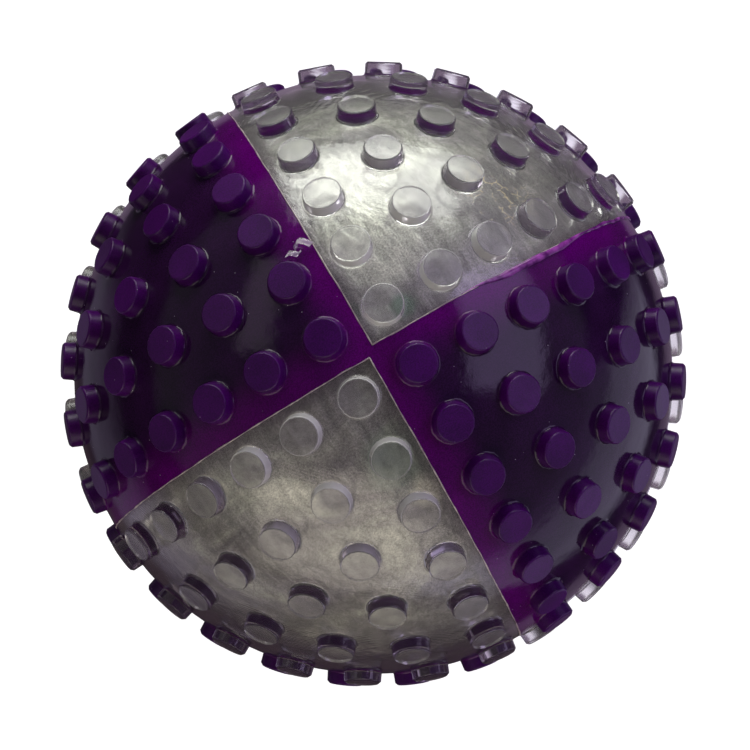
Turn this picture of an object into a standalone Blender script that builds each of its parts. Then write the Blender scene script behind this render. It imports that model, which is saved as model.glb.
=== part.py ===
"""Studded playground ball: two moulded rubber halves of four panels each, over an air bladder with a needle valve.

Metres, +Z up. The origin is the centre of the ball. +Z and -Z run through the corners where four panels meet.
"""

import math

import bmesh
import bpy
from mathutils import Matrix, Vector

# Driving dimensions
OVERALL_RADIUS = 0.0500         # centre of the ball to the flat top of a stud
STUD_HEIGHT = 0.0021            # stud top above the body
WALL = 0.0032                   # thickness of a rubber panel between studs
SEAM_GAP = 0.0003               # clearance between neighbouring pieces
SEAM_BIAS = 0.0007              # purple panels reach this far past the seam planes, so they join at the poles
HALF_TWIST = math.radians(3.3)  # the lower half is bonded this far out of line with the upper one

# Stud pattern of one panel: rows of 1, 2, 3 ... studs counted from the polar corner
STUD_ROWS = 7
ROW_INSET = 0.34                # margin between the outer studs and the seams, in rows
ROW_POWER = 0.755               # evens out the rows over the sphere
POLAR_DRAW = 0.024              # how far inflation draws the rows towards the pole
STUD_TOP_RADIUS = 0.00295       # at the equator
STUD_BASE_RADIUS = 0.00310      # at the equator
POLAR_TOP_GROWTH = 0.00020      # extra top radius at a pole, where the panel is stretched most
POLAR_BASE_GROWTH = 0.00035     # extra base radius at a pole
STUD_ROOT = 0.0011              # depth of a stud's root inside the panel
STUD_SIDES = 10

# Bladder and valve
BLADDER_WALL = 0.0008
VALVE_HOLE_RADIUS = 0.0035      # hole through the lower panels' corners and the bladder
NECK_RADIUS = 0.0032
FLANGE_RADIUS = 0.0062
FLANGE_THICKNESS = 0.0010
FLANGE_STANDOFF = 0.0007        # flange above the lowest point of the bladder's inner face
VALVE_RECESS = 0.0004           # valve mouth below the body's surface
MOUTH_RADIUS = 0.0022
MOUTH_DEPTH = 0.0012
BORE_RADIUS = 0.0013
CORE_RADIUS = 0.0010
CORE_HEAD_RADIUS = 0.0019
CORE_HEAD_THICKNESS = 0.0008
CORE_TAIL = 0.0022              # core beyond the flange, inside the bladder
NEEDLE_HOLE_RADIUS = 0.0004
NEEDLE_HOLE_DEPTH = 0.0050

# Fineness of the faceted solids
SPHERE_SEGMENTS = 32
SPHERE_RINGS = 15
TURNED_STEPS = 24

# Worked out from the driving dimensions
BODY_RADIUS = OVERALL_RADIUS - STUD_HEIGHT
CAVITY_RADIUS = BODY_RADIUS - WALL
BLADDER_RADIUS = CAVITY_RADIUS - SEAM_GAP
BLADDER_INNER_RADIUS = BLADDER_RADIUS - BLADDER_WALL

CLEAR_RUBBER = ((0.74, 0.77, 0.72, 0.35), 0.18)
PURPLE_RUBBER = ((0.075, 0.006, 0.115, 1.0), 0.22)
SILVER_FILM = ((0.56, 0.58, 0.55, 1.0), 0.38)
BLACK_RUBBER = ((0.02, 0.02, 0.022, 1.0), 0.55)


def clear_scene():
    for obj in list(bpy.data.objects):
        bpy.data.objects.remove(obj, do_unlink=True)


def new_collection(name):
    collection = bpy.data.collections.new(name)
    bpy.context.scene.collection.children.link(collection)
    return collection


def make_material(name, finish):
    colour, roughness = finish
    material = bpy.data.materials.new(name)
    material.use_nodes = True
    shader = material.node_tree.nodes["Principled BSDF"]
    shader.inputs["Base Color"].default_value = colour
    shader.inputs["Alpha"].default_value = colour[3]
    shader.inputs["Roughness"].default_value = roughness
    shader.inputs["Metallic"].default_value = 0.0
    return material


def add_object(name, mesh, collection, material=None):
    obj = bpy.data.objects.new(name, mesh)
    collection.objects.link(obj)
    if material:
        mesh.materials.append(material)
    return obj


def mesh_from(bm, name):
    mesh = bpy.data.meshes.new(name)
    bm.to_mesh(mesh)
    bm.free()
    return mesh


def add_cutter(name, mesh, collection):
    cutter = add_object(name, mesh, collection)
    cutter.hide_render = True
    cutter.display_type = "WIRE"
    return cutter


def add_boolean(obj, operation, cutter):
    modifier = obj.modifiers.new(f"{operation.lower()}_{cutter.name}", "BOOLEAN")
    modifier.operation = operation
    modifier.solver = "EXACT"
    modifier.object = cutter


def smooth(mesh):
    mesh.shade_smooth()
    mesh.set_sharp_from_angle(angle=math.radians(30))


def ball_mesh(name, radius):
    """A faceted ball, turned half a segment so that no row of its vertices lies on a seam."""
    bm = bmesh.new()
    bmesh.ops.create_uvsphere(bm, u_segments=SPHERE_SEGMENTS, v_segments=SPHERE_RINGS, radius=radius)
    bmesh.ops.rotate(bm, verts=bm.verts, matrix=Matrix.Rotation(math.pi / SPHERE_SEGMENTS, 3, "Z"))
    return mesh_from(bm, name)


def stud_direction(row, place):
    """Unit vector to a stud of the panel that fills the +X +Y +Z octant."""
    last = STUD_ROWS - 1
    steps = (row - place, place, last - row)
    shares = [((step + ROW_INSET) / (last + 3 * ROW_INSET)) ** ROW_POWER for step in steps]
    direction = Vector(shares).normalized()
    polar = math.acos(direction.z)
    drawn = polar - 4 * POLAR_DRAW * math.sin(polar) ** 2 * math.cos(polar)
    outward = Vector((direction.x, direction.y, 0)).normalized() * math.sin(drawn)
    return Vector((outward.x, outward.y, math.cos(drawn)))


def stud_cluster_mesh():
    """All the studs of one panel: tapered discs standing on the sphere, with their roots inside the wall."""
    bm = bmesh.new()
    depth = STUD_HEIGHT + STUD_ROOT
    for row in range(STUD_ROWS):
        for place in range(row + 1):
            direction = stud_direction(row, place)
            stretch = direction.z ** 2
            top_radius = STUD_TOP_RADIUS + POLAR_TOP_GROWTH * stretch
            base_radius = STUD_BASE_RADIUS + POLAR_BASE_GROWTH * stretch
            turn = direction.to_track_quat("Z", "Y").to_matrix().to_4x4()
            centre = Matrix.Translation(direction * (OVERALL_RADIUS - depth / 2))
            bmesh.ops.create_cone(
                bm,
                cap_ends=True,
                segments=STUD_SIDES,
                radius1=base_radius,
                radius2=top_radius,
                depth=depth,
                matrix=centre @ turn,
            )
    return mesh_from(bm, "stud_cluster")


def octant_mesh(side_inset):
    """A block that fills one octant, with its two upright sides moved in and half a seam gap above the equator."""
    reach = OVERALL_RADIUS * 1.2
    gap = SEAM_GAP / 2
    bm = bmesh.new()
    bmesh.ops.create_cube(bm, size=1)
    bmesh.ops.translate(bm, verts=bm.verts, vec=(0.5, 0.5, 0.5))
    bmesh.ops.scale(bm, verts=bm.verts, vec=(reach - side_inset, reach - side_inset, reach - gap))
    bmesh.ops.translate(bm, verts=bm.verts, vec=(side_inset, side_inset, gap))
    # Opposite panels with a negative inset would cross at the pole, so the corner between the sides is cut off.
    across = Vector((1, 1, 0)).normalized()
    everything = bm.verts[:] + bm.edges[:] + bm.faces[:]
    cut = bmesh.ops.bisect_plane(bm, geom=everything, plane_co=across * gap, plane_no=across, clear_inner=True)
    bmesh.ops.edgeloop_fill(bm, edges=[part for part in cut["geom_cut"] if isinstance(part, bmesh.types.BMEdge)])
    return mesh_from(bm, "octant")


def make_panels(parts, cutters, materials, valve_hole):
    body_ball = add_cutter("body_ball", ball_mesh("body_ball", BODY_RADIUS), cutters)
    cavity_ball = add_cutter("cavity_ball", ball_mesh("cavity_ball", CAVITY_RADIUS), cutters)
    cluster = stud_cluster_mesh()
    turn_over = Matrix.Rotation(math.pi, 4, "X")
    for half in ("upper", "lower"):
        for quarter in range(4):
            is_clear = (quarter % 2 == 0) == (half == "upper")
            colour = "clear" if is_clear else "purple"
            name = f"{half}_{colour}_panel_{quarter // 2 + 1}"
            side_inset = SEAM_GAP / 2 + (SEAM_BIAS if is_clear else -SEAM_BIAS)
            panel = add_object(name, octant_mesh(side_inset), parts, materials[colour])
            turn = Matrix.Rotation(quarter * math.pi / 2, 4, "Z")
            if half == "lower":
                turn = Matrix.Rotation((quarter + 1) * math.pi / 2 - HALF_TWIST, 4, "Z") @ turn_over
            panel.matrix_world = turn
            studs = add_cutter(f"{name}_studs", cluster, cutters)
            studs.matrix_world = turn
            add_boolean(panel, "INTERSECT", body_ball)
            add_boolean(panel, "UNION", studs)
            add_boolean(panel, "DIFFERENCE", cavity_ball)
            if half == "lower":
                add_boolean(panel, "DIFFERENCE", valve_hole)


def valve_hole_mesh():
    bm = bmesh.new()
    length = 4 * WALL
    bmesh.ops.create_cone(
        bm,
        cap_ends=True,
        segments=TURNED_STEPS,
        radius1=VALVE_HOLE_RADIUS,
        radius2=VALVE_HOLE_RADIUS,
        depth=length,
        matrix=Matrix.Translation((0, 0, -BODY_RADIUS)),
    )
    return mesh_from(bm, "valve_hole")


def turned_object(name, profile, parts, material):
    """A piece turned about the Z axis from a profile that runs down its outer side."""
    bm = bmesh.new()
    points = [bm.verts.new((max(x, 0.0), 0, z)) for x, z in profile]
    for first, second in zip(points, points[1:] + points[:1]):
        if first.co.x > 0 or second.co.x > 0:
            bm.edges.new((first, second))
    obj = add_object(name, mesh_from(bm, name), parts, material)
    screw = obj.modifiers.new("turn", "SCREW")
    screw.axis = "Z"
    screw.angle = math.tau
    screw.steps = TURNED_STEPS
    screw.render_steps = TURNED_STEPS
    screw.use_merge_vertices = True
    screw.merge_threshold = 0.00001
    return obj


def make_bladder(parts, cutters, material, valve_hole):
    """A thin hollow ball that follows the panels' inner faces, open where the valve's neck passes."""
    bladder = add_object("inner_air_bladder", ball_mesh("inner_air_bladder", BLADDER_RADIUS), parts, material)
    air = add_cutter("air_space", ball_mesh("air_space", BLADDER_INNER_RADIUS), cutters)
    add_boolean(bladder, "DIFFERENCE", air)
    add_boolean(bladder, "DIFFERENCE", valve_hole)


def make_valve(parts, seat_material, core_material):
    """A rubber seat, whose neck fills the hole in the wall, and the self-sealing core in its bore."""
    flange_low = -(BLADDER_INNER_RADIUS - FLANGE_STANDOFF)
    flange_high = flange_low + FLANGE_THICKNESS
    mouth = -(BODY_RADIUS - VALVE_RECESS)
    mouth_floor = mouth + MOUTH_DEPTH
    seat = [
        (BORE_RADIUS, flange_high),
        (FLANGE_RADIUS, flange_high),
        (FLANGE_RADIUS, flange_low),
        (NECK_RADIUS, flange_low),
        (NECK_RADIUS, mouth),
        (MOUTH_RADIUS, mouth),
        (MOUTH_RADIUS, mouth_floor),
        (BORE_RADIUS, mouth_floor),
    ]
    turned_object("valve_seat", seat, parts, seat_material)

    head_high = mouth_floor - SEAM_GAP
    head_low = head_high - CORE_HEAD_THICKNESS
    core = [
        (0, flange_high + CORE_TAIL),
        (CORE_RADIUS, flange_high + CORE_TAIL),
        (CORE_RADIUS, head_high),
        (CORE_HEAD_RADIUS, head_high),
        (CORE_HEAD_RADIUS, head_low),
        (NEEDLE_HOLE_RADIUS, head_low),
        (NEEDLE_HOLE_RADIUS, head_low + NEEDLE_HOLE_DEPTH),
        (0, head_low + NEEDLE_HOLE_DEPTH),
    ]
    turned_object("valve_core", core, parts, core_material)


def main():
    clear_scene()
    parts = new_collection("studded_playground_ball")
    cutters = new_collection("cutters")
    materials = {
        "clear": make_material("clear_rubber", CLEAR_RUBBER),
        "purple": make_material("purple_rubber", PURPLE_RUBBER),
    }
    valve_hole = add_cutter("valve_hole", valve_hole_mesh(), cutters)
    make_panels(parts, cutters, materials, valve_hole)
    make_bladder(parts, cutters, make_material("silver_film", SILVER_FILM), valve_hole)
    black = make_material("black_rubber", BLACK_RUBBER)
    make_valve(parts, black, black)
    bpy.context.view_layer.update()


main()
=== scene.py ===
# Studded playground ball: see-through and purple rubber panels over a silver-grey air bladder.
import math

import bmesh
import bpy
from mathutils import Matrix, Vector, noise


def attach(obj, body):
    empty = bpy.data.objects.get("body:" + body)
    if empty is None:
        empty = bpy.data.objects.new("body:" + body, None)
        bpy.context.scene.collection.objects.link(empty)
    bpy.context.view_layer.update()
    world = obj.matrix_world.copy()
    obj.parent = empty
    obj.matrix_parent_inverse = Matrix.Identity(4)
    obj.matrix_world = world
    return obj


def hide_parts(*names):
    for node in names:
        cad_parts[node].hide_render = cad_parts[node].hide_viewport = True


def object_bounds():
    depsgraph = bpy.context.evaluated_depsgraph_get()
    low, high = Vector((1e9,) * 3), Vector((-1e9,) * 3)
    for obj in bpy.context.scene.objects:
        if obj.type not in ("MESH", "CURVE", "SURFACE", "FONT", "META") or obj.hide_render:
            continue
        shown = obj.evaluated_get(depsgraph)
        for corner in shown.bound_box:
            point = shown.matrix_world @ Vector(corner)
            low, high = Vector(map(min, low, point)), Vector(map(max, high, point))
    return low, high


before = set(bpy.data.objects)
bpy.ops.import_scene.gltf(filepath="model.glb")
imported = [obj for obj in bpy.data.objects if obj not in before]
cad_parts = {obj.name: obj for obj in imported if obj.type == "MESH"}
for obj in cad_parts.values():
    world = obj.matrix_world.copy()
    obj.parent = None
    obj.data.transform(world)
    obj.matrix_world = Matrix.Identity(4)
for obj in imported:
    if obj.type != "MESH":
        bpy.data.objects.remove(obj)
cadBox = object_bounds()

# Sizes in metres, the same as the frame's. The origin is the ball's centre, and +Z runs through a corner
# where four panels meet.
ball = {
    "topRadius": 0.0500,             # to a stud's flat top
    "bodyRadius": 0.0479,            # to the surface between studs
    "cavityRadius": 0.0447,          # to a panel's inner face
    "halfTwist": math.radians(3.3),  # lower half against the upper one
    "sphereSegments": 96,
}


def finishMesh(bm, name):
    mesh = bpy.data.meshes.new(name)
    bm.to_mesh(mesh)
    bm.free()
    return mesh


def addPiece(name, mesh, material, slotName, *nodes):
    piece = bpy.data.objects.new(name, mesh)
    bpy.context.scene.collection.objects.link(piece)
    mesh.materials.clear()
    mesh.materials.append(material)
    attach(piece, "root")
    if nodes:
        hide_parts(*nodes)
    return piece


def ballMesh(radius, name):
    bm = bmesh.new()
    segments = ball["sphereSegments"]
    bmesh.ops.create_uvsphere(bm, u_segments=segments, v_segments=segments // 2, radius=radius)
    return finishMesh(bm, name)


def linearColour(hexColour):
    # sRGB hex to linear rgba
    channels = [int(hexColour[start:start + 2], 16) / 255 for start in (1, 3, 5)]
    return [c / 12.92 if c <= 0.04045 else ((c + 0.055) / 1.055) ** 2.4 for c in channels] + [1.0]


def addNode(tree, kind, inputs, stops=(), **settings):
    # one node: its settings, then its inputs as fixed values or links, then a ramp's stops
    node = tree.nodes.new("ShaderNode" + kind)
    for name, value in settings.items():
        setattr(node, name, value)
    for key, value in inputs.items():
        if isinstance(value, bpy.types.NodeSocket):
            tree.links.new(value, node.inputs[key])
        else:
            node.inputs[key].default_value = value
    for place, (position, colour) in enumerate(stops):
        if place > 1:
            node.color_ramp.elements.new(position)
        node.color_ramp.elements[place].position = position
        node.color_ramp.elements[place].color = colour
    return node


def newMaterial(name):
    material = bpy.data.materials.new(name)
    material.use_nodes = True
    tree = material.node_tree
    tree.nodes.clear()
    return material, tree


def stepUp(tree, value, low, high, fromValue=0.0, toValue=1.0):
    # value ramped smoothly from fromValue at low to toValue at high
    ramp = addNode(
        tree, "MapRange",
        {"Value": value, "From Min": low, "From Max": high, "To Min": fromValue, "To Max": toValue},
        interpolation_type="SMOOTHSTEP",
    )
    return ramp.outputs["Result"]


print("camera, light and floor")

view = {
    "distance": 0.958,
    "turns": (-4.24, -0.48, 30.12),   # degrees about X, Y, Z that bring the ball into the camera's axes
    "lens": 287.2,
    "sensor": 36.0,
    "shift": (0.002, -0.0007),
}


def viewRotation():
    tiltX, tiltY, turnZ = (math.radians(angle) for angle in view["turns"])
    tilt = Matrix.Rotation(tiltX, 3, "X") @ Matrix.Rotation(tiltY, 3, "Y")
    toCamera = tilt @ Matrix.Rotation(turnZ, 3, "Z")
    return toCamera.transposed()


def addCamera():
    data = bpy.data.cameras.new("camera")
    data.lens = view["lens"]
    data.sensor_width = view["sensor"]
    data.shift_x, data.shift_y = view["shift"]
    data.clip_end = 20
    camera = bpy.data.objects.new("camera", data)
    bpy.context.scene.collection.objects.link(camera)
    turn = viewRotation()
    camera.matrix_world = Matrix.Translation(turn @ Vector((0, 0, view["distance"]))) @ turn.to_4x4()
    bpy.context.scene.camera = camera


lights = {
    # name: direction in the camera's axes (right, up, towards it), distance, width, height, watts, colour
    "keySoftbox": ((0.0, 0.99, 0.06), 0.85, 0.80, 0.70, 8.3, "#fcfff8"),
    "leftSoftbox": ((-0.65, 0.40, 0.64), 0.80, 0.20, 0.46, 0.20, "#fff4ff"),
    "rightSoftbox": ((0.74, 0.27, 0.61), 0.80, 0.46, 0.60, 1.75, "#dcc8ff"),
    "lowFill": ((-0.14, -0.92, 0.36), 0.90, 0.95, 1.00, 3.8, "#fff4e6"),
}


def addLights():
    turn = viewRotation()
    for name, (direction, distance, width, height, watts, colour) in lights.items():
        data = bpy.data.lights.new(name, "AREA")
        data.shape = "RECTANGLE"
        data.size = width
        data.size_y = height
        data.energy = watts
        data.color = linearColour(colour)[:3]
        lamp = bpy.data.objects.new(name, data)
        bpy.context.scene.collection.objects.link(lamp)
        # its height stands in the plane of the camera's up axis
        back = Vector(direction).normalized()
        across = Vector((0, 1, 0)).cross(back).normalized()
        axes = Matrix((across, back.cross(across), back)).transposed()
        lamp.matrix_world = Matrix.Translation(turn @ back * distance) @ (turn @ axes).to_4x4()
    # pale behind the ball, dim all round it, as in a studio with black flags
    world = bpy.data.worlds.new("studio")
    world.use_nodes = True
    tree = world.node_tree
    path = addNode(tree, "LightPath", {})
    direction = addNode(tree, "TexCoord", {}).outputs["Generated"]
    height = addNode(tree, "SeparateXYZ", {0: direction}).outputs["Z"]
    room = addNode(tree, "ValToRGB", {0: height}, stops=(
        (0.1, (0.20, 0.20, 0.21, 1)),
        (0.8, (0.07, 0.07, 0.075, 1)),
    ))
    shade = addNode(tree, "MixRGB", {
        0: path.outputs["Is Camera Ray"], 1: room.outputs[0], 2: (0.93, 0.93, 0.93, 1),
    })
    tree.links.new(shade.outputs[0], tree.nodes["Background"].inputs["Color"])
    bpy.context.scene.world = world
    bpy.context.scene.view_settings.view_transform = "Standard"


floorGlow = {
    # what the ball itself sees of the floor, which glows with painted light and painted shadow: linear
    # colours, and reaches from the ball's centre in metres
    "footLit": (1.3, 1.25, 1.45, 1),
    "footDark": (0.03, 0.025, 0.03, 1),
    "footReach": (0.0735, 0.0765),
    "duskLit": (0.22, 0.16, 0.24, 1),
    "duskDark": (0.050, 0.036, 0.042, 1),
    "duskReach": (0.093, 0.101),
    "leftLightStrip": (0.23, 0.20, 0.28, 1),
    "rightLightStrip": (0.72, 0.68, 0.90, 1),
    "farRight": (0.30, 0.28, 0.38, 1),
    "farLeft": (0.02, 0.02, 0.02, 1),
    "between": (0.025, 0.02, 0.025, 1),
}


def floorMaterial():
    material, tree = newMaterial("paleFloor")
    seen = addNode(tree, "BsdfPrincipled", {
        "Base Color": linearColour("#b0b0b0"),
        "Roughness": 0.8,
        "Specular IOR Level": 0.0,
        "Emission Color": (1, 1, 1, 1),
        "Emission Strength": 0.94,
    })
    coords = addNode(tree, "TexCoord", {}).outputs["Object"]
    reach = addNode(tree, "VectorMath", {0: coords}, operation="LENGTH").outputs["Value"]
    # how far up and how far to the right of the ball's centre, in the camera's axes
    axes = [viewRotation() @ axis for axis in (Vector((0, 1, 0)), Vector((1, 0, 0)))]
    upward, rightward = (
        addNode(tree, "VectorMath", {0: coords, 1: axis}, operation="DOT_PRODUCT").outputs["Value"]
        for axis in axes
    )
    # painted light and painted shadow: lit towards the key and to the right, dark on the far side where the
    # ball's shadow falls
    lit = addNode(tree, "Math", {
        0: stepUp(tree, upward, -0.01, 0.05),
        1: stepUp(tree, rightward, 0.028, 0.045, 0.0, 0.75),
    }, operation="MAXIMUM").outputs[0]
    foot = addNode(tree, "MixRGB", {0: lit, 1: floorGlow["footDark"], 2: floorGlow["footLit"]}).outputs[0]
    dusk = addNode(tree, "MixRGB", {0: lit, 1: floorGlow["duskDark"], 2: floorGlow["duskLit"]}).outputs[0]
    beyond = stepUp(tree, reach, *floorGlow["footReach"])
    shade = addNode(tree, "MixRGB", {0: beyond, 1: foot, 2: dusk}).outputs[0]
    # painted light: glowing strips of floor further out, left and right of the ball, that show as reflections
    # in its sides
    lightStrips = addNode(tree, "ValToRGB", {0: stepUp(tree, rightward, -0.5, 0.5)}, stops=(
        (0.20, floorGlow["farLeft"]),
        (0.30, floorGlow["leftLightStrip"]),
        (0.36, floorGlow["leftLightStrip"]),
        (0.42, floorGlow["between"]),
        (0.645, floorGlow["between"]),
        (0.665, floorGlow["rightLightStrip"]),
        (0.95, floorGlow["rightLightStrip"]),
        (1.00, floorGlow["farRight"]),
    )).outputs[0]
    lowHalf = stepUp(tree, upward, 0.02, 0.06, 1.0, 0.0)
    lightStrips = addNode(tree, "MixRGB", {0: lowHalf, 1: floorGlow["between"], 2: lightStrips}).outputs[0]
    away = stepUp(tree, reach, *floorGlow["duskReach"])
    shade = addNode(tree, "MixRGB", {0: away, 1: shade, 2: lightStrips}).outputs[0]
    glow = addNode(tree, "Emission", {"Color": shade})
    path = addNode(tree, "LightPath", {})
    mixed = addNode(tree, "MixShader", {
        0: path.outputs["Is Camera Ray"], 1: glow.outputs[0], 2: seen.outputs[0],
    })
    addNode(tree, "OutputMaterial", {"Surface": mixed.outputs[0]})
    return material


def addFloor():
    bm = bmesh.new()
    bmesh.ops.create_grid(bm, x_segments=1, y_segments=1, size=6)
    bmesh.ops.translate(bm, verts=bm.verts, vec=(0, 0, cadBox[0][2] - 0.0001))
    floor = bpy.data.objects.new("floor", finishMesh(bm, "floor"))
    bpy.context.scene.collection.objects.link(floor)
    floor.data.materials.append(floorMaterial())


addCamera()
addLights()
addFloor()


def glassOutput(tree, shader, shadowColour):
    # lamps shine through a see-through piece instead of casting its shadow
    see = addNode(tree, "BsdfTransparent", {"Color": linearColour(shadowColour)})
    path = addNode(tree, "LightPath", {})
    mixed = addNode(tree, "MixShader", {
        0: path.outputs["Is Shadow Ray"], 1: shader.outputs[0], 2: see.outputs[0],
    })
    addNode(tree, "OutputMaterial", {"Surface": mixed.outputs[0]})


def seamDistance(tree, placed):
    # metres to the nearest of the three seam planes of a half
    parts = addNode(tree, "SeparateXYZ", {0: placed}).outputs
    away = [addNode(tree, "Math", {0: part}, operation="ABSOLUTE").outputs[0] for part in parts]
    nearest = addNode(tree, "Math", {0: away[0], 1: away[1]}, operation="MINIMUM").outputs[0]
    return addNode(tree, "Math", {0: nearest, 1: away[2]}, operation="MINIMUM").outputs[0]


clearLook = {
    "colour": "#f0f0ec",
    "studTop": "#ffffff",
    "studSideReflection": "#bcabc4",      # painted reflection: the purple of the neighbouring panels as mirrored in the studs' sides
    "paintedShade": "#a08aa4",         # painted shade with a purple cast, by the equator on the -X -Y side, the side away from the key light
    "shadow": "#e6e4e2",
    "through": 0.97,
    "highlightMilkiness": 0.62,          # of the sides of the studs round the pole, a painted highlight for their bright reflections
    "roughness": 0.09,
    "frost": 0.16,              # added on the studs' flat tops
    "ridgePitch": 0.00042,      # cutter marks of the mould
    "ridgeHeight": 0.00006,
}


def clearRubber(name, twist, studRoughness):
    # clear thermoplastic rubber, moulded: a faint haze, glossy between the studs, frosted on their flat tops
    material, tree = newMaterial(name)
    coords = addNode(tree, "TexCoord", {}).outputs["Object"]
    placed = addNode(tree, "Mapping", {"Vector": coords, "Rotation": (0, 0, twist)}).outputs["Vector"]
    radius = addNode(tree, "VectorMath", {0: placed}, operation="LENGTH").outputs["Value"]
    onTop = stepUp(tree, radius, ball["topRadius"] - 0.00025, ball["topRadius"] - 0.00005)
    onStud = stepUp(tree, radius, ball["bodyRadius"] + 0.0002, ball["bodyRadius"] + 0.0004)
    side = addNode(tree, "Math", {0: onStud, 1: onTop}, operation="SUBTRACT").outputs[0]
    # waves and cutter marks, both fainter on the studs
    waves = addNode(tree, "TexNoise", {"Vector": placed, "Scale": 260.0, "Detail": 3.0}).outputs[0]
    patches = addNode(tree, "TexNoise", {"Vector": placed, "Scale": 90.0, "Detail": 2.0}).outputs[0]
    ridges = addNode(tree, "TexWave", {
        "Vector": placed,
        "Scale": 2 * math.pi / 20 / clearLook["ridgePitch"],
        "Distortion": 3.0,
        "Detail": 1.0,
        "Detail Scale": 0.3,
    }, wave_type="BANDS", bands_direction="DIAGONAL").outputs[0]
    shares = (stepUp(tree, patches, 0.50, 0.62, 0.12, 1.0), stepUp(tree, onStud, 0, 1, 1.0, 0.25))
    for share in shares:
        ridges = addNode(tree, "Math", {0: ridges, 1: share}, operation="MULTIPLY").outputs[0]
    waves = addNode(tree, "Math", {0: waves, 1: shares[1]}, operation="MULTIPLY").outputs[0]
    soft = addNode(tree, "Bump", {"Height": waves, "Distance": 0.0004, "Strength": 0.18}).outputs[0]
    fine = addNode(tree, "Bump", {
        "Height": ridges, "Distance": clearLook["ridgeHeight"], "Strength": 0.16, "Normal": soft,
    }).outputs[0]
    frost = stepUp(tree, onTop, 0, 1, 0.0, clearLook["frost"])
    plainRoughness = stepUp(tree, onStud, 0, 1, clearLook["roughness"], studRoughness)
    roughness = addNode(tree, "Math", {0: frost, 1: plainRoughness}, operation="ADD").outputs[0]
    # the studs' sides are milky round the pole, a painted highlight for the bright reflections on those
    # walls, and tinted further out with a painted purple reflection of the neighbouring panels
    parts = addNode(tree, "SeparateXYZ", {0: placed}).outputs
    height = addNode(tree, "Math", {0: parts["Z"]}, operation="ABSOLUTE").outputs[0]
    nearPole = stepUp(tree, height, 0.034, 0.043)
    milkyHighlight = addNode(tree, "Math", {0: side, 1: nearPole}, operation="MULTIPLY").outputs[0]
    offEquator = stepUp(tree, height, 0.009, 0.018, 0.25, 1.0)
    reflectedPurple = addNode(tree, "Math", {0: side, 1: offEquator}, operation="MULTIPLY").outputs[0]
    reflectedPurple = addNode(tree, "Math", {0: reflectedPurple, 1: milkyHighlight}, operation="SUBTRACT", use_clamp=True).outputs[0]
    # painted shade: darker and purpler by the equator on the -X -Y side
    across = addNode(tree, "Math", {0: parts["X"], 1: parts["Y"]}, operation="ADD").outputs[0]
    shadeShare = addNode(tree, "Math", {
        0: stepUp(tree, across, -0.056, -0.044, 1.0, 0.0),
        1: stepUp(tree, height, 0.005, 0.022, 0.75, 0.0),
    }, operation="MULTIPLY").outputs[0]
    tone = linearColour(clearLook["colour"])
    for share, colour in ((onTop, "studTop"), (reflectedPurple, "studSideReflection"), (shadeShare, "paintedShade")):
        tone = addNode(tree, "MixRGB", {0: share, 1: tone, 2: linearColour(clearLook[colour])}).outputs[0]
    through = addNode(tree, "Math", {
        0: milkyHighlight, 1: -clearLook["highlightMilkiness"], 2: clearLook["through"],
    }, operation="MULTIPLY_ADD").outputs[0]
    shader = addNode(tree, "BsdfPrincipled", {
        "Base Color": tone,
        "Roughness": roughness,
        "IOR": 1.49,
        "Transmission Weight": through,
        "Normal": fine,
    })
    glassOutput(tree, shader, clearLook["shadow"])
    return material


purpleLook = {
    "body": "#2b0e36",
    "seam": "#560062",          # painted glow: magenta, where light gets in through the clear neighbours
    "seamWidth": 0.0080,
    "stud": "#3f0055",
    "bondedSide": "#401c4e",    # shows through the clear panels
    "dust": "#b4a4bc",
    "roughness": 0.08,
    "studRoughness": 0.36,
}


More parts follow.
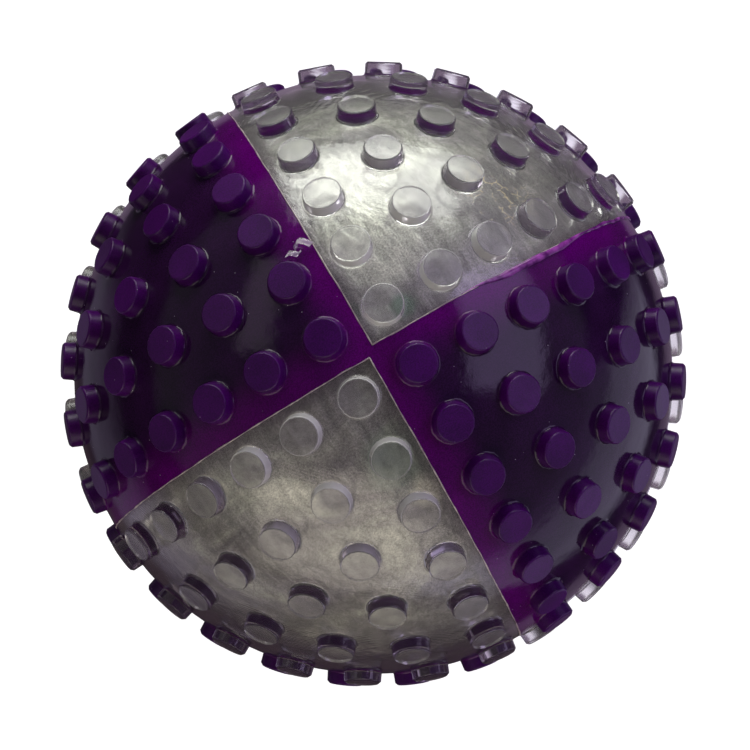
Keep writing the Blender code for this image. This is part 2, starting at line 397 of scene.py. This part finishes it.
def purpleRubber(name, twist):
    # deep purple translucent thermoplastic rubber: nearly black where it is thick, with a painted magenta
    # glow along its seams, where light gets in
    material, tree = newMaterial(name)
    coords = addNode(tree, "TexCoord", {}).outputs["Object"]
    placed = addNode(tree, "Mapping", {"Vector": coords, "Rotation": (0, 0, twist)}).outputs["Vector"]
    radius = addNode(tree, "VectorMath", {0: placed}, operation="LENGTH").outputs["Value"]
    cloud = addNode(tree, "TexNoise", {"Vector": placed, "Scale": 120.0, "Detail": 4.0}).outputs[0]
    grain = addNode(tree, "TexNoise", {"Vector": placed, "Scale": 4500.0, "Detail": 2.0}).outputs[0]
    wander = addNode(tree, "Math", {0: cloud, 1: 0.006, 2: -0.003}, operation="MULTIPLY_ADD").outputs[0]
    distance = addNode(tree, "Math", {0: seamDistance(tree, placed), 1: wander}, operation="ADD").outputs[0]
    seamGlow = stepUp(tree, distance, 0.0, purpleLook["seamWidth"], 1.0, 0.0)
    onStud = stepUp(tree, radius, ball["bodyRadius"] + 0.00003, ball["bodyRadius"] + 0.0005)
    inWall = stepUp(tree, radius, ball["bodyRadius"] - 0.0009, ball["bodyRadius"] - 0.0001, 1.0, 0.0)
    tone = linearColour(purpleLook["body"])
    for share, colour in ((seamGlow, "seam"), (onStud, "stud"), (inWall, "bondedSide")):
        tone = addNode(tree, "MixRGB", {0: share, 1: tone, 2: linearColour(purpleLook[colour])}).outputs[0]
    for shade in (stepUp(tree, cloud, 0.3, 0.7, 0.8, 1.2), stepUp(tree, grain, 0.3, 0.7, 0.70, 1.30)):
        tone = addNode(tree, "VectorMath", {0: tone, "Scale": shade}, operation="SCALE").outputs[0]
    # dust: bits up to 0.2 mm across, in a quarter of the cells of a 1.4 mm pattern
    dust = addNode(tree, "TexVoronoi", {"Vector": placed, "Scale": 700.0, "Randomness": 1.0})
    bit = stepUp(tree, dust.outputs["Distance"], 0.03, 0.07, 1.0, 0.0)
    pick = addNode(tree, "SeparateColor", {0: dust.outputs["Color"]}).outputs[0]
    rare = addNode(tree, "Math", {0: pick, 1: 0.72}, operation="GREATER_THAN").outputs[0]
    shown = addNode(tree, "Math", {0: bit, 1: rare}, operation="MULTIPLY").outputs[0]
    tone = addNode(tree, "MixRGB", {0: shown, 1: tone, 2: linearColour(purpleLook["dust"])}).outputs[0]
    waves = addNode(tree, "TexNoise", {"Vector": placed, "Scale": 160.0, "Detail": 3.0}).outputs[0]
    soft = addNode(tree, "Bump", {"Height": waves, "Distance": 0.0004, "Strength": 0.3}).outputs[0]
    fine = addNode(tree, "Bump", {
        "Height": grain, "Distance": 0.00002, "Strength": 0.50, "Normal": soft,
    }).outputs[0]
    shader = addNode(tree, "BsdfPrincipled", {
        "Base Color": tone,
        "Roughness": stepUp(tree, onStud, 0, 1, purpleLook["roughness"], purpleLook["studRoughness"]),
        "IOR": 1.49,
        "Specular IOR Level": 0.32,
        "Normal": fine,
    })
    addNode(tree, "OutputMaterial", {"Surface": shader.outputs[0]})
    return material


filmLook = {
    "clouds": ("#7e7a80", "#9f9e9d", "#bcbeb6", "#edefe4"),   # dark to pale
    "seamStain": "#5c4060",
    "paintedGlints": "#efe2b4",
    "paintedGlintsAt": (0.0290, 0.0125, 0.0315),
    "paintedGlintsReach": (0.0020, 0.0080),
}

# patches on the film, the first three a painted highlight, painted sheen and painted shade: name, place,
# size, strength, colour
filmMarks = (
    ("paintedHighlightBand", (0.0100, 0.0250, 0.0352), 0.0065, 0.40, "#fbfbf4"),
    ("paintedSheenByPole", (0.0090, 0.0145, 0.0410), 0.0085, 0.75, "#e8eae0"),
    ("paintedShadeShoulder", (0.0350, 0.0090, 0.0260), 0.0110, 0.55, "#6e6b69"),
    ("greenByPole", (0.0078, 0.0036, 0.0435), 0.0022, 0.70, "#47775a"),
    ("greenTip", (0.0004, 0.0066, 0.0439), 0.0018, 0.60, "#557c60"),
    ("greenLower", (-0.0046, -0.0160, 0.0410), 0.0062, 0.60, "#63806c"),
    ("paleWisp", (-0.0030, -0.0215, 0.0387), 0.0030, 0.70, "#e8e6d8"),
)


def silverFilm():
    # silver-grey bladder film: satin metallic, with drawn streaks, cloudy wisps and a green cast in places,
    # and painted highlights, painted shade and painted glints
    material, tree = newMaterial("silverFilm")
    coords = addNode(tree, "TexCoord", {}).outputs["Object"]
    drawn = addNode(tree, "Mapping", {
        "Vector": coords, "Scale": (0.5, 0.10, 0.5), "Rotation": (0.3, 0.2, 0.9),
    }).outputs["Vector"]
    streaks = addNode(tree, "TexNoise", {
        "Vector": drawn, "Scale": 1500.0, "Detail": 5.0, "Distortion": 0.3,
    }).outputs[0]
    squeezed = addNode(tree, "Mapping", {
        "Vector": coords, "Scale": (0.55, 1.0, 0.8), "Rotation": (0, 0, 0.5),
    }).outputs["Vector"]
    clouds = addNode(tree, "TexNoise", {
        "Vector": squeezed, "Scale": 75.0, "Detail": 8.0, "Roughness": 0.62, "Distortion": 1.2,
    }).outputs[0]
    grain = addNode(tree, "TexNoise", {"Vector": coords, "Scale": 3600.0, "Detail": 3.0}).outputs[0]
    places = (0.34, 0.48, 0.58, 0.70)
    tone = addNode(tree, "ValToRGB", {0: clouds}, stops=[
        (place, linearColour(colour)) for place, colour in zip(places, filmLook["clouds"])
    ]).outputs[0]
    for name, place, size, strength, colour in filmMarks:
        # a cloudy patch of another tone, torn at its edge by the wisps
        away = addNode(tree, "VectorMath", {0: coords, 1: place}, operation="DISTANCE").outputs["Value"]
        torn = addNode(tree, "Math", {
            0: clouds, 1: -1.6 * size, 2: away,
        }, operation="MULTIPLY_ADD").outputs[0]
        share = stepUp(tree, torn, -0.3 * size, 0.5 * size, strength, 0.0)
        tone = addNode(tree, "MixRGB", {0: share, 1: tone, 2: linearColour(colour)}, label=name).outputs[0]
    stain = stepUp(tree, seamDistance(tree, coords), 0.0007, 0.0036, 0.45, 0.0)
    tone = addNode(tree, "MixRGB", {0: stain, 1: tone, 2: linearColour(filmLook["seamStain"])}).outputs[0]
    # painted glints: a drift of straw-coloured highlights in a crackle pattern on the +X side
    glintDistance = addNode(tree, "VectorMath", {
        0: coords, 1: filmLook["paintedGlintsAt"],
    }, operation="DISTANCE").outputs["Value"]
    cells = addNode(tree, "TexVoronoi", {
        "Vector": squeezed, "Scale": 800.0,
    }, feature="DISTANCE_TO_EDGE").outputs["Distance"]
    share = stepUp(tree, glintDistance, *filmLook["paintedGlintsReach"], 0.8, 0.0)
    for part in (stepUp(tree, cells, 0.02, 0.07, 1.0, 0.0), stepUp(tree, streaks, 0.49, 0.55)):
        share = addNode(tree, "Math", {0: share, 1: part}, operation="MULTIPLY").outputs[0]
    tone = addNode(tree, "MixRGB", {0: share, 1: tone, 2: linearColour(filmLook["paintedGlints"])}).outputs[0]
    for shade in (stepUp(tree, streaks, 0.35, 0.65, 0.78, 1.18), stepUp(tree, grain, 0.3, 0.7, 0.70, 1.28)):
        tone = addNode(tree, "VectorMath", {0: tone, "Scale": shade}, operation="SCALE").outputs[0]
    height = addNode(tree, "Math", {0: streaks, 1: clouds}, operation="ADD").outputs[0]
    bump = addNode(tree, "Bump", {"Height": height, "Distance": 0.0004, "Strength": 0.7})
    shader = addNode(tree, "BsdfPrincipled", {
        "Base Color": tone,
        "Metallic": 0.50,
        "Roughness": 0.42,
        "Normal": bump.outputs[0],
    })
    addNode(tree, "OutputMaterial", {"Surface": shader.outputs[0]})
    return material


def flashRubber():
    # thin flash squeezed out at a seam: pale and cloudy, because it is torn and full of tiny air
    material, tree = newMaterial("seamFlash")
    coords = addNode(tree, "TexCoord", {}).outputs["Object"]
    cloud = addNode(tree, "TexNoise", {"Vector": coords, "Scale": 900.0, "Detail": 3.0}).outputs[0]
    tone = addNode(tree, "ValToRGB", {0: cloud}, stops=(
        (0.35, linearColour("#9b8390")),
        (0.65, linearColour("#dfd2cc")),
    )).outputs[0]
    shader = addNode(tree, "BsdfPrincipled", {"Base Color": tone, "Roughness": 0.35, "IOR": 1.49})
    addNode(tree, "OutputMaterial", {"Surface": shader.outputs[0]})
    return material


def lipRubber():
    # the same purple rubber where it ran out thin and lets the light through: paler because it is thin, and
    # brighter still by a painted glow of that light
    material, tree = newMaterial("thinPurpleRubber")
    coords = addNode(tree, "TexCoord", {}).outputs["Object"]
    cloud = addNode(tree, "TexNoise", {"Vector": coords, "Scale": 500.0, "Detail": 4.0}).outputs[0]
    tone = addNode(tree, "ValToRGB", {0: cloud}, stops=(
        (0.36, linearColour("#5a0a66")),
        (0.62, linearColour("#a64cae")),
    )).outputs[0]
    shader = addNode(tree, "BsdfPrincipled", {"Base Color": tone, "Roughness": 0.22, "IOR": 1.49})
    addNode(tree, "OutputMaterial", {"Surface": shader.outputs[0]})
    return material


def curlRubber():
    # a torn ribbon of clear rubber, cloudy along its edges
    material, tree = newMaterial("clearCurl")
    coords = addNode(tree, "TexCoord", {}).outputs["Object"]
    cloud = addNode(tree, "TexNoise", {"Vector": coords, "Scale": 1100.0, "Detail": 3.0}).outputs[0]
    haze = stepUp(tree, cloud, 0.35, 0.65, 0.1, 0.45)
    shader = addNode(tree, "BsdfPrincipled", {
        "Base Color": linearColour("#f4ecf4"), "Roughness": haze, "IOR": 1.49, "Transmission Weight": 0.72,
    })
    glassOutput(tree, shader, "#e6e0e6")
    return material


def blackRubber():
    # black butyl rubber of the valve: matt, with a fine moulded grain
    material, tree = newMaterial("valveRubber")
    coords = addNode(tree, "TexCoord", {}).outputs["Object"]
    grain = addNode(tree, "TexNoise", {"Vector": coords, "Scale": 4000.0, "Detail": 3.0}).outputs[0]
    bump = addNode(tree, "Bump", {"Height": grain, "Distance": 0.00003, "Strength": 0.5})
    shader = addNode(tree, "BsdfPrincipled", {
        "Base Color": linearColour("#1d1d1f"), "Roughness": 0.55, "IOR": 1.52, "Normal": bump.outputs[0],
    })
    addNode(tree, "OutputMaterial", {"Surface": shader.outputs[0]})
    return material


stud = {
    "rows": 7,                # rows of 1, 2, 3 ... 7 studs from the polar corner
    "rowInset": 0.34,         # margin to the seams, in rows
    "rowPower": 0.755,        # evens the rows out over the sphere
    "polarDraw": 0.024,       # inflation draws the rows towards the pole
    "topSize": 0.00295,
    "baseSize": 0.00302,
    "polarTopGrowth": 0.00020,
    "polarBaseGrowth": 0.00030,
    "sides": 18,
    "root": 0.0011,           # depth inside the wall
    "fillet": 0.00042,        # hollow round between the stud and the body
    "sink": 0.00016,          # depth of the fillet's foot below the plane on the body at the stud's middle
    "edgeRound": 0.00034,
}


def studDirection(row, place):
    last = stud["rows"] - 1
    steps = (row - place, place, last - row)
    whole = last + 3 * stud["rowInset"]
    shares = [((step + stud["rowInset"]) / whole) ** stud["rowPower"] for step in steps]
    direction = Vector(shares).normalized()
    polar = math.acos(direction.z)
    drawn = polar - 4 * stud["polarDraw"] * math.sin(polar) ** 2 * math.cos(polar)
    outward = Vector((direction.x, direction.y, 0)).normalized() * math.sin(drawn)
    return Vector((outward.x, outward.y, math.cos(drawn)))


studDirections = [studDirection(row, place) for row in range(stud["rows"]) for place in range(row + 1)]


def studMesh(direction):
    # one stud, turned from its outline and stood on the sphere in that direction
    stretch = direction.z ** 2
    height = ball["topRadius"] - ball["bodyRadius"]
    base = stud["baseSize"] + stud["polarBaseGrowth"] * stretch
    top = stud["topSize"] + stud["polarTopGrowth"] * stretch
    fillet, sink, edge = stud["fillet"], stud["sink"], stud["edgeRound"]
    outline = (
        (base + fillet, -stud["root"]),
        (base + fillet, -sink),
        (base + 0.234 * fillet, 0.357 * fillet - sink),
        (base, fillet - sink),
        (top, height - edge),
        (top - edge, height),
    )
    bm = bmesh.new()
    points = [bm.verts.new((radius, 0, z)) for radius, z in outline]
    edges = [bm.edges.new(pair) for pair in zip(points, points[1:])]
    bmesh.ops.spin(
        bm, geom=points + edges, cent=(0, 0, 0), axis=(0, 0, 1),
        angle=math.tau, steps=stud["sides"], use_merge=True,
    )
    bmesh.ops.holes_fill(bm, edges=[part for part in bm.edges if part.is_boundary], sides=0)
    bmesh.ops.recalc_face_normals(bm, faces=bm.faces)
    turn = direction.to_track_quat("Z", "Y").to_matrix().to_4x4()
    place = Matrix.Translation(direction * ball["bodyRadius"]) @ turn
    bmesh.ops.transform(bm, matrix=place, verts=bm.verts)
    return finishMesh(bm, "stud")


def studCluster():
    bm = bmesh.new()
    for direction in studDirections:
        bm.from_mesh(studMesh(direction))
    return finishMesh(bm, "studCluster")


def octantBall(sideInset, floorInset):
    # the solid eighth of the ball, its upright sides and its equator side each moved in from the seam planes
    bm = bmesh.new()
    bm.from_mesh(ballMesh(ball["bodyRadius"], "bodyBall"))
    cuts = (
        (Vector((1, 0, 0)), sideInset),
        (Vector((0, 1, 0)), sideInset),
        (Vector((0, 0, 1)), floorInset),
        (Vector((1, 1, 0)).normalized(), 0),
    )
    for normal, inset in cuts:
        everything = bm.verts[:] + bm.edges[:] + bm.faces[:]
        cut = bmesh.ops.bisect_plane(
            bm, geom=everything, plane_co=normal * inset, plane_no=normal, clear_inner=True,
        )
        edges = [part for part in cut["geom_cut"] if isinstance(part, bmesh.types.BMEdge)]
        bmesh.ops.edgeloop_fill(bm, edges=edges)
    return finishMesh(bm, "octant")


def applied(obj):
    graph = bpy.context.evaluated_depsgraph_get()
    return bpy.data.meshes.new_from_object(obj.evaluated_get(graph))


def booleaned(mesh, steps):
    # mesh after a row of exact Booleans, each one a pair of operation and cutter mesh
    obj = bpy.data.objects.new("blank", mesh)
    bpy.context.scene.collection.objects.link(obj)
    cutters = []
    for operation, cutterMesh in steps:
        cutter = bpy.data.objects.new("cutter", cutterMesh)
        bpy.context.scene.collection.objects.link(cutter)
        cutters.append(cutter)
        modifier = obj.modifiers.new(operation, "BOOLEAN")
        modifier.operation = operation
        modifier.solver = "EXACT"
        modifier.object = cutter
    result = applied(obj)
    for helper in [obj] + cutters:
        bpy.data.objects.remove(helper, do_unlink=True)
    return result


def studNormal(centre, corner, faceNormal):
    # the smooth normal at one corner of a stud's face
    axis = max(studDirections, key=centre.dot)
    height = corner.dot(axis) - ball["bodyRadius"]
    top = ball["topRadius"] - ball["bodyRadius"]
    if faceNormal.dot(axis) > 0.97 or height > top - 2e-5:
        return axis
    outward = (corner - axis * corner.dot(axis)).normalized()
    up = min(max(1 - (height + stud["sink"]) / stud["fillet"], 0), 1)
    return axis * up + outward * math.sqrt(1 - up * up)


def smoothPanel(mesh):
    # true round normals on the sphere and on the studs, flat ones on the sides
    mesh.shade_smooth()
    mesh.set_sharp_from_angle(angle=math.radians(50))
    normals = []
    slack = 6e-5
    for face in mesh.polygons:
        corners = [mesh.vertices[index].co for index in face.vertices]
        radii = [corner.length for corner in corners]
        lowest, highest = min(radii), max(radii)
        for corner in corners:
            if abs(lowest - ball["bodyRadius"]) < slack and abs(highest - ball["bodyRadius"]) < slack:
                normals.append(corner.normalized())
            elif abs(lowest - ball["cavityRadius"]) < slack and abs(highest - ball["cavityRadius"]) < slack:
                normals.append(-corner.normalized())
            elif highest > ball["bodyRadius"] + slack:
                normals.append(studNormal(face.center, corner, face.normal))
            else:
                normals.append(Vector((0, 0, 0)))
    mesh.normals_split_custom_set(normals)


seam = {
    "bias": 0.0007,          # the purple panels' reach past each seam plane, so they join at the poles
    "tuck": 0.00003,         # the overlap of two panels
    "flashRadius": 0.00012,  # half the width of the line of flash along a seam
    "flashWander": 0.00010,
}


def arcTube(radius, sides, start, end, offset, steps):
    # a tube on the body's surface, round the X axis at x = offset, between two angles from +Z towards +Y
    bm = bmesh.new()
    reach = math.sqrt(ball["bodyRadius"] ** 2 - offset ** 2)
    ring = bmesh.ops.create_circle(bm, cap_ends=False, segments=sides, radius=radius)["verts"]
    # the circle stands across the arc's path, then goes round
    bmesh.ops.rotate(bm, verts=ring, matrix=Matrix.Rotation(math.pi / 2, 3, "X"))
    bmesh.ops.translate(bm, verts=ring, vec=(offset, 0, reach))
    bmesh.ops.rotate(bm, verts=ring, matrix=Matrix.Rotation(-start, 3, "X"))
    bmesh.ops.spin(
        bm, geom=bm.verts[:] + bm.edges[:], cent=(0, 0, 0), axis=(-1, 0, 0), angle=end - start, steps=steps,
    )
    ends = [edge for edge in bm.edges if edge.is_boundary]
    bmesh.ops.holes_fill(bm, edges=ends, sides=sides)
    bmesh.ops.recalc_face_normals(bm, faces=bm.faces)
    return bm


def clearEdgeFlash(reach):
    # flash along the two upright edges of the clear panel in the +X +Y +Z octant, thick and thin by turns;
    # it starts at that reach from the pole's axis
    tip = math.asin(reach / ball["bodyRadius"])
    both = bmesh.new()
    for side in (0, 1):
        bm = arcTube(seam["flashRadius"], 8, tip, math.pi / 2, seam["bias"], 110)
        for vert in bm.verts:
            along = vert.co.normalized()
            swell = 0.75 + 0.6 * noise.noise(along * 40 + Vector((side, 0, 0)) * 7)
            middle = Vector((seam["bias"], vert.co.y, vert.co.z))
            core = middle.normalized() * ball["bodyRadius"]
            core.x = seam["bias"]
            vert.co = core + (vert.co - core) * swell
            vert.co.x += seam["flashWander"] * noise.noise(along * 14 + Vector((0, side, 3)) * 5)
        mesh = finishMesh(bm, "edge")
        if side:
            mesh.transform(Matrix(((0, 1, 0, 0), (1, 0, 0, 0), (0, 0, 1, 0), (0, 0, 0, 1))))
            mesh.flip_normals()
        both.from_mesh(mesh)
    result = finishMesh(both, "clearEdgeFlash")
    result.shade_smooth()
    return result


def valveHole():
    # cut at the polar corner of the octant that is turned over to make the lower half
    bm = bmesh.new()
    radius = valve["holeRadius"]
    bmesh.ops.create_cone(bm, cap_ends=True, segments=64, radius1=radius, radius2=radius, depth=0.012)
    bmesh.ops.translate(bm, verts=bm.verts, vec=(0, 0, ball["bodyRadius"]))
    return finishMesh(bm, "valveHole")


def panelMesh(sideInset, floorInset, cutters):
    bm = bmesh.new()
    bm.from_mesh(booleaned(octantBall(sideInset, floorInset), cutters))
    bmesh.ops.dissolve_degenerate(bm, dist=1e-6, edges=bm.edges)
    mesh = finishMesh(bm, "panel")
    smoothPanel(mesh)
    return mesh


def makePanels(materials):
    steps = {"upper": [("UNION", studCluster()), ("DIFFERENCE", ballMesh(ball["cavityRadius"], "cavity"))]}
    steps["lower"] = steps["upper"] + [("DIFFERENCE", valveHole())]
    # the colours overlap by a hair, so light inside a clear panel meets its neighbours with no air between
    bias, tuck = seam["bias"], seam["tuck"]
    insets = {"clear": (bias, tuck), "purple": (-bias - tuck, -2 * tuck)}
    flash = {"upper": clearEdgeFlash(seam["bias"]), "lower": clearEdgeFlash(valve["holeRadius"])}
    turnOver = Matrix.Rotation(math.pi, 4, "X")
    for half in ("upper", "lower"):
        bases = {}
        for quarter in range(4):
            isClear = (quarter % 2 == 0) == (half == "upper")
            colour = "clear" if isClear else "purple"
            number = quarter // 2 + 1
            turn = Matrix.Rotation(quarter * math.pi / 2, 4, "Z")
            if half == "lower":
                turn = Matrix.Rotation((quarter + 1) * math.pi / 2 - ball["halfTwist"], 4, "Z") @ turnOver
            if number == 1:
                bases[colour] = panelMesh(*insets[colour], steps[half])
            mesh = bases[colour].copy()
            mesh.transform(turn)
            addPiece(
                f"{half}{colour.title()}Panel{number}", mesh, materials[half + colour],
                f"{colour}_rubber", f"{half}_{colour}_panel_{number}",
            )
            if isClear:
                edging = flash[half].copy()
                edging.transform(turn)
                addPiece(f"{half}SeamFlash{number}", edging, materials["flash"], "clear_rubber")


valve = {
    # heights are along Z from the ball's centre; the valve points to -Z
    "holeRadius": 0.0035,
    "neckRadius": 0.0032,
    "mouth": -0.0475,
    "mouthRadius": 0.0022,
    "mouthFloor": -0.0463,
    "boreRadius": 0.0013,
    "flangeLow": -0.0429,
    "flangeHigh": -0.0419,
    "flangeRadius": 0.0062,
    "collarHeight": 0.0006,
    "ribReach": 0.00018,
    "coreHead": -0.0468,
    "coreHeadTop": -0.0460,
    "coreHeadRadius": 0.0019,
    "coreRadius": 0.0010,
    "coreTip": -0.0397,
    "needleHoleRadius": 0.0004,
}

print("panels")
makePanels({
    "upperclear": clearRubber("clearRubberUpper", 0.0, 0.10),
    "upperpurple": purpleRubber("purpleRubberUpper", 0.0),
    "lowerclear": clearRubber("clearRubberLower", ball["halfTwist"], 0.24),
    "lowerpurple": purpleRubber("purpleRubberLower", ball["halfTwist"]),
    "flash": flashRubber(),
})

lip = {
    # purple rubber that ran over the clear panel along the upper seam at +X; angles are degrees from the pole
    "start": 20.0,
    "end": 86.0,
    "tubeRadius": 0.001,         # of the tube that is flattened into the lip
    "thinWidth": 0.00010,
    "thinHeight": 0.00007,
    "ridgeRise": (22.0, 30.0),
    "ridgeFall": (44.0, 56.0),
    "ridgeWidth": 0.00046,
    "ridgeHeight": 0.00024,
    "foldRise": (50.0, 62.0),
    "foldFall": (76.0, 88.0),
    "foldWidth": 0.0004,
    "foldHeight": 0.00012,
    "wander": 0.00022,
}


def rise(value, low, high):
    share = min(max((value - low) / (high - low), 0), 1)
    return share * share * (3 - 2 * share)


def overflowLip(material):
    tube = lip["tubeRadius"]
    bm = arcTube(tube, 14, math.radians(lip["start"]), math.radians(lip["end"]), 0.0, 150)
    for vert in bm.verts:
        x, y, z = vert.co
        angle = math.degrees(math.atan2(y, z))
        across, up = x / tube, (math.hypot(y, z) - ball["bodyRadius"]) / tube
        rough = noise.noise(Vector((angle * 0.20, 2.0, 0)))
        rough += 0.25 * noise.noise(Vector((angle * 0.6, 5.0, 0)))
        ridge = rise(angle, *lip["ridgeRise"]) * (1 - rise(angle, *lip["ridgeFall"]))
        fold = rise(angle, *lip["foldRise"]) * (1 - 0.6 * rise(angle, *lip["foldFall"]))
        half = lip["thinWidth"] + lip["ridgeWidth"] * ridge * (1 + 0.5 * rough) + lip["foldWidth"] / 2 * fold
        tall = lip["thinHeight"] + lip["ridgeHeight"] * ridge * (1 + 0.4 * rough) + lip["foldHeight"] * fold
        middle = seam["bias"] + 0.0001 - half * ridge + lip["wander"] * rough * (ridge + fold)
        vert.co.x = middle + across * half
        radius = math.sqrt(ball["bodyRadius"] ** 2 - vert.co.x ** 2) + up * tall
        flat = Vector((0, y, z)).normalized() * radius
        vert.co.y, vert.co.z = flat.y, flat.z
    mesh = finishMesh(bm, "overflowLip")
    # from the plane across X to the seam at +X, whose plane is across Y
    mesh.transform(Matrix(((0, 1, 0, 0), (1, 0, 0, 0), (0, 0, 1, 0), (0, 0, 0, 1))))
    mesh.flip_normals()
    mesh.shade_smooth()
    addPiece("overflowLip", mesh, material, "purple_rubber")


curl = {
    # a torn-off curl of flash on the upper seam at +Y
    "polar": math.radians(24.5),
    "turns": 1.45,
    "heading": math.radians(200),
    "radius": 0.0011,
    "length": 0.0036,
    "width": 0.0010,
    "thickness": 0.00016,
    "lift": 0.0005,
    "steps": 48,
}


def flashCurl(material):
    # a flat ribbon wound as an open coil that lies on the ball and narrows to its end
    bm = bmesh.new()
    steps = curl["steps"]
    profile = bmesh.ops.create_circle(bm, cap_ends=False, segments=4, radius=math.sqrt(0.5))["verts"]
    bmesh.ops.rotate(bm, verts=profile, matrix=Matrix.Rotation(math.pi / 4, 3, "Z"))
    bmesh.ops.scale(bm, verts=profile, vec=(curl["width"], curl["thickness"], 1))
    bmesh.ops.translate(bm, verts=profile, vec=(0, curl["radius"], 0))
    bmesh.ops.spin(
        bm, geom=bm.verts[:] + bm.edges[:], cent=(0, 0, 0), axis=(1, 0, 0),
        angle=curl["turns"] * math.tau, steps=steps, dvec=(curl["length"] / steps, 0, 0),
    )
    bmesh.ops.holes_fill(bm, edges=[edge for edge in bm.edges if edge.is_boundary], sides=4)
    bmesh.ops.recalc_face_normals(bm, faces=bm.faces)
    for vert in bm.verts:
        share = vert.co.x / curl["length"]
        squeeze = 1 - 0.45 * share + 0.25 * noise.noise(vert.co * 900)
        vert.co.y *= squeeze
        vert.co.z *= squeeze * 0.8
    polar = curl["polar"]
    foot = Vector((0, math.sin(polar), math.cos(polar))) * (ball["bodyRadius"] + curl["lift"])
    turn = Matrix.Rotation(-polar, 4, "X") @ Matrix.Rotation(curl["heading"], 4, "Z")
    bmesh.ops.transform(bm, matrix=Matrix.Translation(foot) @ turn, verts=bm.verts)
    mesh = finishMesh(bm, "flashCurl")
    mesh.shade_smooth()
    addPiece("flashCurl", mesh, material, "clear_rubber")


print("seams")
overflowLip(lipRubber())
flashCurl(curlRubber())

print("bladder and valve")

bladder = {"radius": 0.0444, "wall": 0.0008, "rings": 60, "steps": 96}


def turnedPiece(name, outline, steps, smoothAngle):
    # a closed outline of (radius, height, rounding) points turned about Z, its corners rounded first
    points = []
    count = len(outline)
    for place, (x, z, rounding) in enumerate(outline):
        corner = Vector((x, 0, z))
        before = Vector((outline[place - 1][0], 0, outline[place - 1][1])) - corner
        after = Vector((outline[(place + 1) % count][0], 0, outline[(place + 1) % count][1])) - corner
        if not rounding:
            points.append(corner)
            continue
        start = corner + before.normalized() * rounding
        finish = corner + after.normalized() * rounding
        for share in (0.0, 0.25, 0.5, 0.75, 1.0):
            points.append(start.lerp(corner, share).lerp(corner.lerp(finish, share), share))
    bm = bmesh.new()
    verts = [bm.verts.new(point) for point in points]
    edges = []
    for first, second in zip(verts, verts[1:] + verts[:1]):
        if max(first.co.x, second.co.x) > 1e-7:
            edges.append(bm.edges.new((first, second)))
    bmesh.ops.spin(
        bm, geom=verts + edges, cent=(0, 0, 0), axis=(0, 0, 1), angle=math.tau, steps=steps, use_merge=True,
    )
    bmesh.ops.remove_doubles(bm, verts=bm.verts, dist=1e-6)
    bmesh.ops.recalc_face_normals(bm, faces=bm.faces)
    mesh = finishMesh(bm, name)
    mesh.shade_smooth()
    mesh.set_sharp_from_angle(angle=math.radians(smoothAngle))
    return mesh


def bladderMesh():
    # a hollow ball, open at -Z for the neck of the valve
    outline = []
    for radius, order in ((bladder["radius"], 1), (bladder["radius"] - bladder["wall"], -1)):
        reach = math.pi - math.asin(valve["holeRadius"] / radius)
        rings = [reach - reach * ring / bladder["rings"] for ring in range(bladder["rings"] + 1)]
        for polar in rings[::order]:
            outline.append((max(radius * math.sin(polar), 0.0), radius * math.cos(polar), 0))
    return turnedPiece("airBladder", outline, bladder["steps"], 60)


def valveMeshes():
    neck, bore, mouthRadius = valve["neckRadius"], valve["boreRadius"], valve["mouthRadius"]
    mouth, floor = valve["mouth"], valve["mouthFloor"]
    low, high, flange = valve["flangeLow"], valve["flangeHigh"], valve["flangeRadius"]
    # the outline starts on the bore, at the collar inside the bladder
    collar = high + valve["collarHeight"]
    seat = [(bore, collar, 0.0002), (bore + 0.0009, collar, 0.0003)]
    seat += [(bore + 0.0014, high, 0.0002), (flange, high, 0.0004), (flange, low, 0.0002)]
    seat += [(neck + 0.00012, low, 0), (neck, low - 0.0006, 0.0002)]
    # two ribs round the neck grip the wall
    for rib in (low - 0.0012, low - 0.0026):
        crest = neck + valve["ribReach"]
        seat += [(neck, rib + 0.0003, 0.0001), (crest, rib, 0.0001), (neck, rib - 0.0003, 0.0001)]
    seat += [(neck, mouth, 0.0005), (mouthRadius, mouth, 0.00035), (mouthRadius, floor, 0.0002)]
    # a ring moulded in the floor of the mouth
    seat += [(0.0019, floor, 0), (0.00185, floor - 0.00005, 0), (0.00175, floor - 0.00005, 0)]
    seat += [(0.0017, floor, 0), (bore, floor, 0.0001)]
    head, headTop, wide = valve["coreHead"], valve["coreHeadTop"], valve["coreHeadRadius"]
    slim, tip, hole = valve["coreRadius"], valve["coreTip"], valve["needleHoleRadius"]
    core = [(0, tip, 0), (slim, tip, 0.0005), (slim, headTop, 0.0002), (wide, headTop, 0.0002)]
    core += [(wide, head + 0.0002, 0.0002), (0.0011, head, 0.0002), (0.0007, head + 0.0002, 0.0001)]
    core += [(hole, head + 0.0003, 0.0001), (hole, head + 0.0050, 0.0002), (0, head + 0.0050, 0)]
    return turnedPiece("valveSeat", seat, 72, 35), turnedPiece("valveCore", core, 48, 35)


addPiece("airBladder", bladderMesh(), silverFilm(), "bladder_film", "inner_air_bladder")
seatMesh, coreMesh = valveMeshes()
valveMaterial = blackRubber()
addPiece("valveSeat", seatMesh, valveMaterial, "valve_rubber", "valve_seat")
addPiece("valveCore", coreMesh, valveMaterial, "valve_rubber", "valve_core")
